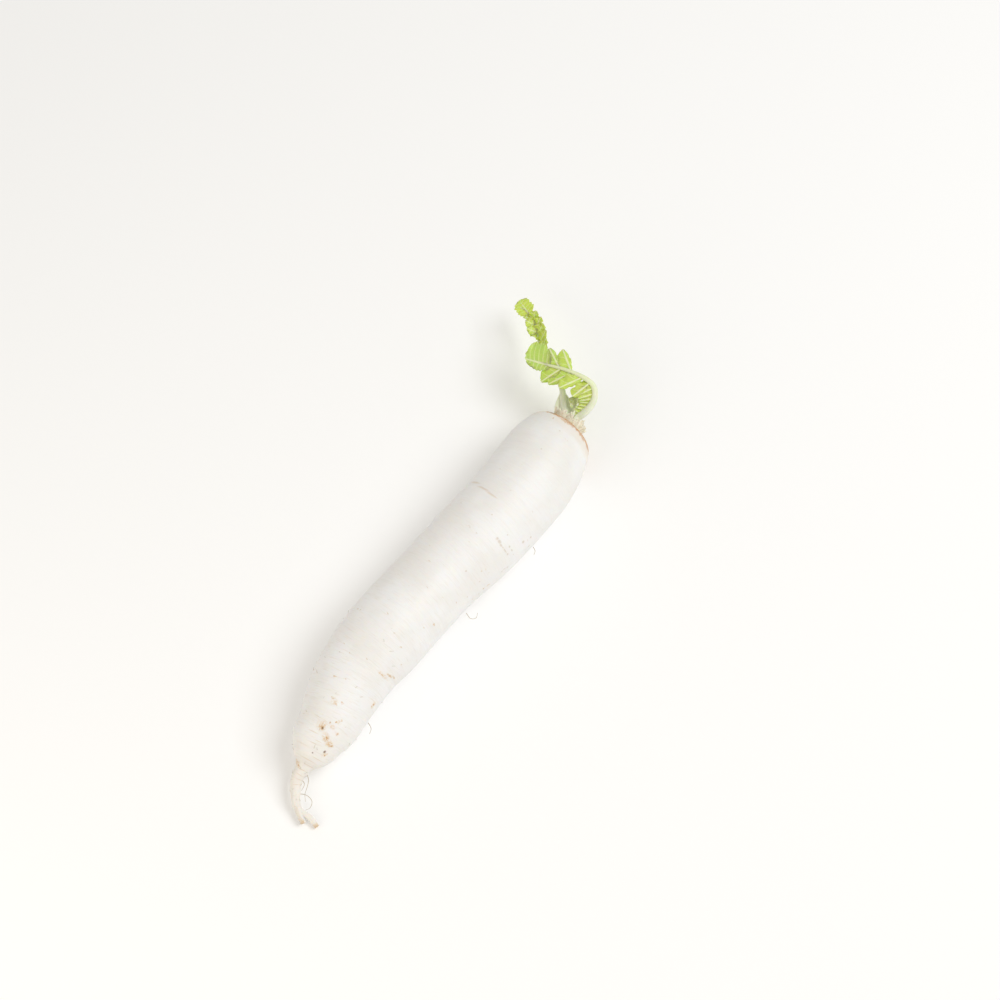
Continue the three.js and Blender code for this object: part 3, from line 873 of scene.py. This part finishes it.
leaf, tree, shader = new_material("Young leaf", roughness=0.42)
straight = attribute(tree, "straight")["Vector"]
pale = attribute(tree, "pale")["Fac"]
tone = attribute(tree, "tone")["Fac"]
mottle = patch_mask(tree, straight, scale=0.35, low=0.3, high=0.7)
colour = blend(tree, tone, LEAF_GREEN, LEAF_YELLOW)
colour = tint(tree, colour, MOTTLE_GREEN, mottle, 0.3)
net = node(tree, "ShaderNodeTexVoronoi", {"Vector": straight, "Scale": 0.85}, feature="DISTANCE_TO_EDGE")
net_mask = ramp(tree, net.outputs["Distance"], low=0.09, high=0.0)
not_pale = maths(tree, "SUBTRACT", 1.0, pale, clamp=True)
blade_net = maths(tree, "MULTIPLY", net_mask, not_pale)
colour = tint(tree, colour, VEIN_LIGHT, blade_net, 0.35)
colour = blend(tree, ramp(tree, pale, low=0.05, high=0.6), colour, RIB_PALE)
colour = blend(tree, ramp(tree, pale, low=0.6, high=1.0), colour, STALK_WHITE)
fibres = streak_mask(tree, straight, across=2.2, along=0.08, low=0.4, high=0.7)
colour = tint(tree, colour, STALK_GREEN, maths(tree, "MULTIPLY", fibres, pale), 0.28)
tree.links.new(colour, shader.inputs["Base Color"])
hollows = maths(tree, "MULTIPLY", net_mask, -0.8)
height = maths(tree, "SUBTRACT", hollows, maths(tree, "MULTIPLY", fibres, 0.4))
set_bump(tree, shader, height, strength=0.5, distance=0.12)
tree.links.new(ramp(tree, pale, low=0.3, high=0.7, to_low=0.55, to_high=0.15),
               shader.inputs["Subsurface Weight"])
set_light_inside(shader, radius=(0.7, 1.0, 0.25), scale=2)
print("leaf material is made of", len(tree.nodes), "nodes")

# %% [markdown]
# ## Blades
#
# A blade is a thin curved plate. It starts as a flat grid that is given a thickness while it is still flat,
# so both faces and the rim match, and only then is every vertex laid on the curved surface. The lobe's
# edge is scalloped, its ribs are thicker, and the skin between the veins swells up a little.

# %% A closed plate laid on a surface
NORMAL_STEP = 0.01
FLAT_DEPTH = 0.5


def plate(across, along, surface, half_thickness, values):
    """A plate over surface(u, v), with u from 0 to 1 along it and v from -1 to 1 across it."""
    bm = new_mesh()
    bmesh.ops.create_grid(bm, x_segments=across, y_segments=along, size=1)
    bmesh.ops.solidify(bm, geom=bm.faces[:], thickness=FLAT_DEPTH)
    middle = sum(v.co.z for v in bm.verts) / len(bm.verts)
    straight, pale, tone = value_layers(bm)
    laid = {}
    for v in bm.verts:
        u, w = (v.co.y + 1) / 2, v.co.x
        key = (round(u, 5), round(w, 5))
        if key not in laid:
            along_edge = surface(u + NORMAL_STEP, w) - surface(u - NORMAL_STEP, w)
            across_edge = surface(u, w + NORMAL_STEP) - surface(u, w - NORMAL_STEP)
            laid[key] = (surface(u, w), across_edge.cross(along_edge).normalized(),
                         half_thickness(u, w), values(u, w))
        point, normal, half, kept = laid[key]
        v.co = point + normal * (half if v.co.z > middle else -half)
        v[straight], v[pale], v[tone] = kept
    return bm


# %% The directions of a leaf along its stalk
CURL_AXIS = Vector((-0.35, -0.24, 0.9)).normalized()
FOOT_HEIGHTS = (0.5, 4)   # a stalk's foot stands straight on the crown between these heights


def on_crown(right, over, up):
    return crown_centre + crown_right * right + crown_over * over + crown_out * up


def stalk_line(shape):
    """The line of a leaf's stalk, from its foot on the crown to its tip."""
    foot = [(*on_crown(*shape["foot"], up), shape["stalk"][0][3]) for up in FOOT_HEIGHTS]
    return Line(foot + shape["stalk"])


def mix(pair, share):
    return pair[0] + (pair[1] - pair[0]) * share


def leaf_axes(shape, line, share):
    """Ahead, across and facing: the leaf's own directions, and how far its halves are folded."""
    opened = fade(line.reached[min(round(share * LINE_PARTS), LINE_PARTS)] / line.length, *shape["opens"])
    roll = math.radians(mix(shape["roll"], opened))
    ahead = line.ahead(share)
    inside = CURL_AXIS.cross(ahead).normalized()
    beneath = inside.cross(ahead)
    facing = inside * math.cos(roll) + beneath * math.sin(roll)
    return ahead, ahead.cross(facing), facing, math.radians(mix(shape["fold"], opened))


# %% One lobe
BLADE_HALF, RIB_HALF = 0.22, 0.42    # half the thickness of a blade, and what a rib adds to it
TOOTH_DEPTH, TOOTH_SHARE = 1.9, 0.23    # the deepest tooth in millimetres, and as a share of half the width
NECK_SHARE, EDGE_WANDER = 0.3, 0.22     # how narrow a lobe's foot is, and how unevenly its edge runs
VEIN_WIDTH, VEIN_SLOPE, VEIN_STRENGTH = 0.38, 0.9, 0.6


def lobe(foot, rib, cross, facing, shape, phase):
    """A leaf lobe: length and width, teeth on its edge, curl along it, cup across it and a ruffle."""
    length, width, teeth = shape["length"], shape["width"], shape["teeth"]
    blunt, tip, sweep = shape.get("blunt", 0.7), shape.get("tip", 0.42), shape.get("sweep", 0)

    def half_width(u, v):
        inside = min(max(u, 0), 1)
        swell = math.sin(math.pi * inside ** 1.2) ** blunt if 0 < inside < 1 else 0
        least = mix((NECK_SHARE, tip), fade(u, 0.4, 1))
        smooth = width / 2 * (1 - shape.get("skew", 0) * v) * (least + (1 - least) * swell)
        smooth *= 1 + EDGE_WANDER * noise.noise(Vector((3.2 * u, 1.3 * v, 7 * phase)))
        notch = 1 - abs(math.sin(teeth * math.pi * u))
        fine = 1 - abs(math.sin(2 * teeth * math.pi * u + 0.6))
        return smooth - min(TOOTH_SHARE * smooth, TOOTH_DEPTH) * (0.8 * notch ** 0.8 + 0.3 * fine)

    def vein(u, v):
        """1 on a rib or side vein and 0 between them."""
        off_rib = abs(v) * width / 2
        rib_width = 0.75 * (1 - 0.65 * u) * min(1, width / 8) + 0.15
        on_rib = math.exp(-(off_rib / rib_width) ** 2)
        slope = VEIN_SLOPE / teeth
        place = (u - 0.5 / teeth + slope * (1 - abs(v) ** 0.8)) * teeth
        off_vein = abs(place - round(place)) / teeth * length * 0.75
        vein_width = VEIN_WIDTH * (1.15 - 0.7 * abs(v))
        on_vein = math.exp(-(off_vein / vein_width) ** 2) * VEIN_STRENGTH
        return max(on_rib, on_vein * fade(u, 0.0, 0.06))

    def surface(u, v):
        half = half_width(u, v)
        rise = shape["curl"] * length * u * u + shape["cup"] * half * v * v
        rise += shape["ruffle"] * v * v * math.sin(9 * u + phase)
        rise += 0.45 * shape["ruffle"] * abs(v) ** 3 * math.sin(23 * u + 2.3 * phase + 2 * v)
        rise += 0.3 * v * v * noise.noise(Vector((4 * u, 2.5 * v, 9 * phase)))
        rise += min(0.02 * width, 0.3) * (1 - vein(u, v)) * (1 - v * v)
        tooth = min(0.05 * width, 0.9) * fade(u, 0.7, 1) * abs(math.sin(2 * math.pi * v + 0.5))
        back = (0.12 * v * v + sweep * v) * width * u + tooth
        return foot + rib * (length * u - back) + cross * (half * v) + facing * rise

    def half_thickness(u, v):
        return BLADE_HALF + RIB_HALF * max(0, 1 - 3 * abs(v)) * (1 - 0.6 * u)

    lobe_tone = shape["tone"] + 0.12 * math.sin(5 * phase)
    offset = 40 * phase

    def values(u, v):
        straight = Vector((v * half_width(u, v) + offset, u * length, offset))
        edge_tone = lobe_tone + 0.25 * (1 - abs(v)) * (1 - u)
        return straight, min(1.0, shape.get("pale", 0) + 0.62 * vein(u, v)), min(max(edge_tone, 0), 1)

    across = 2 * round(min(max(width * 1.3, 7), 20))
    along = round(min(max(length * 2.4, 22), 56))
    return plate(across, along, surface, half_thickness, values)


# %% The stalk of a leaf
STALK_SIDES, STALK_SPACING = 22, 0.55


def stalk(shape, line):
    """The stalk and midrib: a bar with fine ribs round it and a groove on the side that faces in."""
    reach = line.share_at(line.length - shape["end"]["length"] * 0.25)
    shares = [share for share in even_shares(line, STALK_SPACING, 1200) if share < reach]

    def axes(share):
        ahead, across, facing, _ = leaf_axes(shape, line, share)
        return ahead, across, facing

    def relief(ring, turn):
        groove = math.exp(-((math.degrees(turn) - 90) / 26) ** 2)
        thinning = 1 - 0.6 * fade(ring, len(shares) - 30, len(shares) - 1)
        return (1.02 - 0.17 * groove + 0.035 * math.cos(9 * turn)) * thinning

    def values(ring, turn):
        straight = Vector((4 * math.cos(turn), ring * STALK_SPACING, 4 * math.sin(turn)))
        return straight, mix((1.0, 0.55), fade(shares[ring], 0.15, 0.95)), 0.6

    return bar(line, STALK_SIDES, shares, axes, values, relief)


# %% A whole leaf
def make_leaf(name, solid, shape, draw):
    """Stalk, two rows of lobes, the end lobe and, where there is one, the broad base."""
    bm = new_mesh()
    line = stalk_line(shape)
    small_draw = Draw(3)
    for side, rows, drawn in ((1, "near", draw), (-1, "far", draw), (1, "small", small_draw)):
        for distance, length, width, lean in shape[rows]:
            share = line.share_at(distance)
            ahead, across, facing, fold = leaf_axes(shape, line, share)
            out = across * side * math.cos(fold) + facing * math.sin(fold)
            tilt = math.radians(lean)
            rib = out * math.cos(tilt) + ahead * math.sin(tilt)
            cross = ahead * math.cos(tilt) - out * math.sin(tilt)
            upper = out.cross(ahead) * side
            phase = drawn.between(0, math.pi)
            twist = math.radians(shape["twist"]) * math.sin(7 * phase)
            turned = cross * math.cos(twist) + upper * math.sin(twist)
            upper = upper * math.cos(twist) - cross * math.sin(twist)
            add_part(bm, lobe(line.at(share).to_3d(), rib, turned, upper, {
                "length": length, "width": width, "skew": shape["skew"], "teeth": 3, "curl": shape["curl"],
                "cup": 0.25, "ruffle": shape["ruffle"] * length, "tone": mix(shape["tones"], share),
                "pale": shape["pale"]}, phase))
    end = shape["end"]
    share = line.share_at(line.length - end["length"] * 0.92)
    ahead, across, facing, _ = leaf_axes(shape, line, share)
    add_part(bm, lobe(line.at(share).to_3d(), ahead, across, facing, {
        **end, "teeth": 6, "cup": 0.15, "ruffle": 0.6, "tone": shape["tones"][1]}, draw.between(0, math.pi)))
    if "sheath" in shape:
        add_part(bm, sheath(shape, line))
    add_part(bm, stalk(shape, line))
    return finish_piece(bm, name, leaf, node=solid)


# %% The broad base of a stalk
def sheath(shape, line):
    """The broad pale base of a stalk: a trough that clasps the crown and narrows up the stalk."""
    broad = shape["sheath"]

    def flare_at(u):
        return (0.55 + 1.6 * u) * max(1 - u, 0) ** 1.3

    def half_width(u, v):
        return 0.8 + broad["width"] / 2 * (1 - broad["skew"] * v) * flare_at(u)

    def surface(u, v):
        share = line.share_at(broad["from"] + broad["length"] * u)
        _, across, facing, _ = leaf_axes(shape, line, share)
        half = half_width(u, v)
        ridge = 0.12 * math.cos(16 * v)
        trough = (0.17 - 0.12 * v) * half * v * v - 0.6 + ridge
        return line.at(share).to_3d() + across * (half * v) + facing * trough

    def half_thickness(u, v):
        return (1.7 - u) / 2 * (1 - 0.55 * abs(v) ** 3)

    def values(u, v):
        straight = Vector((half_width(u, v) * v, broad["length"] * u, 3))
        # The base is nearly as white as the stalk, partly its own pale colour and partly painted light that
        # lifts the shade it lies in under the curled leaf. The whiter rim at its edges is a painted
        # highlight.
        return straight, min(1, mix((1.0, 0.9), u) + 0.1 * v ** 4), 0.5

    return plate(22, 34, surface, half_thickness, values)


# %% [markdown]
# ## Three leaves
#
# The curled leaf leaves the crown on the right, turns back over it and opens flat at its end. The long
# one lies behind it, half folded and ruffled, on a broad clasping base. The small inner one sits in the
# hollow of the first. Drawing every lobe by hand would be long, so each leaf is a table: the stations of its
# stalk, and rows of lobes with distance along the stalk, length, width and lean towards the tip. Near and far
# are the two sides, close to those of the solids. Small holds three short lobes that only this script has.

# %% Leaf tables
curled_shape = {
    "foot": (4.5, 0.5),
    "stalk": [
        (167.5, -10.4, 28.4, 2.8), (172.5, -12.4, 30.2, 2.9), (179, -14, 33.5, 2.8), (184.5, -13.6, 38, 2.5),
        (189, -9.3, 42.5, 2.2), (189.3, -2.2, 45.5, 1.85), (188, 6.2, 46.6, 1.5), (186.4, 15.2, 46, 1.2),
        (184, 25.3, 44, 0.9), (183.5, 34.5, 41.7, 0.65), (184, 41, 39.6, 0.45),
    ],
    "roll": (0, 88), "fold": (64, 8), "opens": (0.5, 0.62), "curl": 0.04, "tones": (1.0, 0.12), "pale": 0,
    "skew": -0.4, "twist": 8, "ruffle": 0.05,
    "near": [
        (24, 8.5, 3.4, -25), (27.5, 10.5, 3.8, -22), (31, 12, 4.4, -18), (34.5, 13.5, 5.2, -12),
        (38.5, 15.5, 6.4, -2), (43, 18, 8.5, 12), (49.5, 19, 9.5, 34), (57.5, 19.5, 10, 42), (66, 18, 11, 42),
    ],
    "far": [
        (28, 5, 3, -20), (32, 6.5, 3.4, -16), (36, 8, 4, -10), (40, 9.5, 4.6, 0),
        (44.5, 12, 6, 10), (51, 16, 8, 26), (58.5, 18, 10, 44), (67.5, 17, 10, 44),
    ],
    "small": [(13.5, 5.5, 3.2, -20), (17, 7, 3.4, -25), (20.5, 7.5, 3.6, -25)],
    "end": {
        "length": 19.5, "width": 20, "skew": 0.42, "sweep": 0.13, "curl": -0.05, "blunt": 0.42, "tip": 0.6,
    },
}
long_shape = {
    "foot": (-4.6, -1.2),
    "stalk": [
        (166, -1.6, 28.4, 2.9), (170.5, 2.4, 29.6, 2.7), (175.3, 6.4, 31.5, 2.3), (179.5, 10.4, 33, 2),
        (184.4, 18.7, 34, 1.8), (191.2, 30.1, 33.5, 1.5), (198.7, 41.3, 32.5, 1.2), (206.5, 49.7, 31, 1),
        (213.4, 58.6, 30, 0.85), (217.6, 68, 28.5, 0.65), (217.6, 77, 27, 0.45),
    ],
    "roll": (-84, -88), "fold": (38, 20), "opens": (0.6, 0.9), "curl": 0.05, "tones": (0.95, 0.7), "pale": 0,
    "skew": 0, "twist": 30, "ruffle": 0.09,
    "near": [
        (55, 7, 8, 24), (61.5, 9, 9.5, 34), (68.5, 10.5, 10.5, 26), (75, 9.5, 11, 40), (81.5, 9, 10.5, 34),
        (87.5, 8, 9, 44),
    ],
    "far": [
        (57, 6, 7, 36), (64, 8, 8.5, 26), (70.5, 7.5, 9, 40), (77, 8.5, 9.5, 30), (83.5, 8, 9.5, 44),
        (89, 7, 8, 38),
    ],
    "small": [],
    "end": {"length": 17, "width": 13.5, "curl": -0.04, "blunt": 0.55, "tip": 0.5},
    "sheath": {"from": 5, "length": 23, "width": 20, "skew": 0},
}
inner_shape = {
    "foot": (-0.2, 3.2),
    "stalk": [
        (166, -7.4, 31.3, 1.4), (171, -6, 32.3, 1.8), (174.8, -4.8, 33.3, 1.8), (177.3, -2.2, 34.2, 1.4),
        (178.2, 1.8, 34.4, 0.7),
    ],
    # Its paler, yellower blade is partly the colour of a young inner leaf and partly painted light that lifts
    # the shade of the hollow it sits in.
    "roll": (-60, -60), "fold": (48, 40), "opens": (0.5, 1), "curl": 0.04, "tones": (1.0, 0.9), "pale": 0.38,
    "skew": 0, "twist": 15, "ruffle": 0.08,
    "near": [(15.5, 5, 4.5, 20), (19.5, 6.5, 5, 25)],
    "far": [(17, 5, 4.5, 20), (21, 6, 5, 25)],
    "small": [],
    "end": {"length": 9, "width": 7.5, "curl": 0, "blunt": 0.6},
}

# %% Make the leaves, with the same draws as the solids
draw = Draw(11)
make_leaf("curled_leaf", "leaf_curled", curled_shape, draw)
make_leaf("long_leaf", "leaf_long", long_shape, draw)
make_leaf("inner_leaf", "leaf_inner", inner_shape, draw)

# %% [markdown]
# ## Collar of dry leaf bases
#
# Old leaves have been broken off round the crown, and their bases have dried to straw. Each base is a thick
# fibrous scale with a torn edge. Scattering one shape many times would look stamped, so every scale is laid
# on its own surface with its own height, lean, ridges and ragged tip, and loose fibres stand out of them.

# %% Straw material
STRAW, STRAW_PALE, STRAW_BROWN = (0.84, 0.77, 0.55), (0.95, 0.91, 0.77), (0.50, 0.31, 0.12)
straw, tree, shader = new_material("Dry leaf base", roughness=0.78)
straight = attribute(tree, "straight")["Vector"]
pale = attribute(tree, "pale")["Fac"]
tone = attribute(tree, "tone")["Fac"]
colour = blend(tree, tone, STRAW, STRAW_PALE)
fibres = streak_mask(tree, straight, across=1.9, along=0.22, low=0.42, high=0.66)
colour = tint(tree, colour, STRAW_BROWN, fibres, 0.3)
colour = tint(tree, colour, STRAW_PALE, pale, 0.6)
stain = patch_mask(tree, straight, scale=0.45, low=0.52, high=0.75)
colour = tint(tree, colour, STRAW_BROWN, stain, 0.4)
tree.links.new(colour, shader.inputs["Base Color"])
set_bump(tree, shader, fibres, strength=0.8, distance=0.2)
shader.inputs["Subsurface Weight"].default_value = 0.12
set_light_inside(shader, radius=(1.0, 0.7, 0.35), scale=1)
print("straw material is made of", len(tree.nodes), "nodes")

# %% Ring that the scales stand on
COLLAR_RADIUS, COLLAR_HEIGHT, CLEARANCE = 11.2, 4.5, 0.15
collar_bm = new_mesh()
profile = [
    (0.0, CLEARANCE), (COLLAR_RADIUS, CLEARANCE), (COLLAR_RADIUS + 0.9, 0.7), (COLLAR_RADIUS + 0.5, 2),
    (COLLAR_RADIUS - 0.6, COLLAR_HEIGHT), (COLLAR_RADIUS - 3, COLLAR_HEIGHT + 1), (0.0, COLLAR_HEIGHT),
]
standing = Matrix((crown_right, crown_over, crown_out)).transposed().to_4x4()
standing.translation = crown_centre
previous = None
for radius, up in profile:
    v = collar_bm.verts.new((radius, 0, up))
    if previous:
        collar_bm.edges.new((previous, v))
    previous = v
bmesh.ops.subdivide_edges(collar_bm, edges=collar_bm.edges[1:5], cuts=3)
bmesh.ops.spin(collar_bm, geom=collar_bm.verts[:] + collar_bm.edges[:], cent=(0, 0, 0), axis=(0, 0, 1),
               angle=2 * math.pi, steps=120, use_merge=True)
bmesh.ops.remove_doubles(collar_bm, verts=collar_bm.verts, dist=1e-4)
straight, _, tone = value_layers(collar_bm)
for v in collar_bm.verts:
    turn, radius = math.atan2(v.co.y, v.co.x), math.hypot(v.co.x, v.co.y)
    v[straight] = (turn * COLLAR_RADIUS, v.co.z, 0)
    v[tone] = 0.35
    pleat = 0.25 * math.cos(34 * turn) + 0.35 * noise.noise(Vector((turn * 6, v.co.z * 0.5, 4)))
    if radius > 1:
        v.co.xy *= 1 + pleat * fade(radius, 5, 10) / radius
bmesh.ops.transform(collar_bm, matrix=standing, verts=collar_bm.verts)
print("the ring has", len(collar_bm.verts), "vertices")


# %% Scales
def scale_plate(turn, radius, height, width, lean, ragged, seed):
    """One dry leaf base, with fibrous ridges along it and a torn tip."""
    away = crown_right * math.cos(turn) + crown_over * math.sin(turn)
    round_it = away.cross(crown_out)
    foot = crown_centre + away * radius + crown_out * 1.5

    def torn(v):
        coarse = noise.noise(Vector((v * 1.4, seed, 0)))
        fine = noise.noise(Vector((v * 4.5, seed, 8)))
        return 1 + 0.26 * coarse + 0.16 * fine

    def surface(u, v):
        ridge = 0.12 * math.cos(9 * v + seed) + 0.6 * noise.noise(Vector((v * 1.6, u * 2.2, seed)))
        ridge += 0.9 * u * math.sin(2.6 * v + 3 * seed)
        up = height * u * (1 + ragged * v * u * 0.4) * (1 + (torn(v) - 1) * u)
        outward = lean * height * u * u - 0.06 * width * v * v + ridge * (0.4 + 0.6 * u)
        return foot + crown_out * up + away * outward + round_it * (width / 2 * v * (1 - 0.3 * u * u))

    def half_thickness(u, v):
        return (1.9 - 1.0 * u) / 2 * (1 - 0.5 * abs(v) ** 3)

    def values(u, v):
        straight = Vector((width / 2 * v + 9 * seed, height * u, seed))
        return straight, fade(u, 0.5, 1) * 0.8, 0.5 + 0.5 * noise.noise(Vector((seed, 3, 1)))

    return plate(12, 12, surface, half_thickness, values)


# %% Stand the scales round the crown, two rings and three that lean out
def ring_of_scales(count, radius, heights, widths, leans):
    for i in range(count):
        turn = (i + draw.between(-0.2, 0.2)) / count * 2 * math.pi
        height, width, lean = draw.between(*heights), draw.between(*widths), draw.between(*leans)
        ragged = draw.between(-0.5, 0.5)
        add_part(collar_bm, scale_plate(turn, radius, height, width, lean, ragged, i + 0.37 * count))


ring_of_scales(12, COLLAR_RADIUS - 1, heights=(5.5, 8.5), widths=(6.2, 8.4), leans=(0.0, 0.22))
ring_of_scales(9, COLLAR_RADIUS - 3.2, heights=(7, 9.5), widths=(5.4, 7.2), leans=(0, 0.15))
leaning_scales = [(-0.35, 5, 5, 0.5), (0.3, 5.5, 5.5, 0.5), (2.6, 8, 6, 0.3)]   # turn, height, width, lean
for turn, height, width, lean in leaning_scales:
    add_part(collar_bm, scale_plate(turn, COLLAR_RADIUS - 0.6, height, width, lean, 0.3, 50 + turn))
print("the collar has", len(collar_bm.verts), "vertices")

# %% Loose fibres
FIBRES, FIBRE_WIDTH = 26, 0.34


def fibre_values(ring, turn):
    return Vector((0, 0.7 * ring, 0)), 0.7, 0.9


for _ in range(FIBRES):
    turn = draw.between(0, 2 * math.pi)
    radius = draw.between(COLLAR_RADIUS - 4, COLLAR_RADIUS - 0.2)
    away = crown_right * math.cos(turn) + crown_over * math.sin(turn)
    round_it = away.cross(crown_out)
    start = crown_centre + away * radius + crown_out * draw.between(4.5, 7)
    long, flare, swerve = draw.between(1.5, 3), draw.between(-0.1, 0.5), draw.between(-0.5, 0.5)
    points = [start + (crown_out + away * flare * part + round_it * swerve * part) * long * part
              for part in (0, 0.33, 0.66, 1)]
    add_hair(collar_bm, points, FIBRE_WIDTH, 4, fibre_values)
finish_piece(collar_bm, "collar", straw, node="crown_collar")
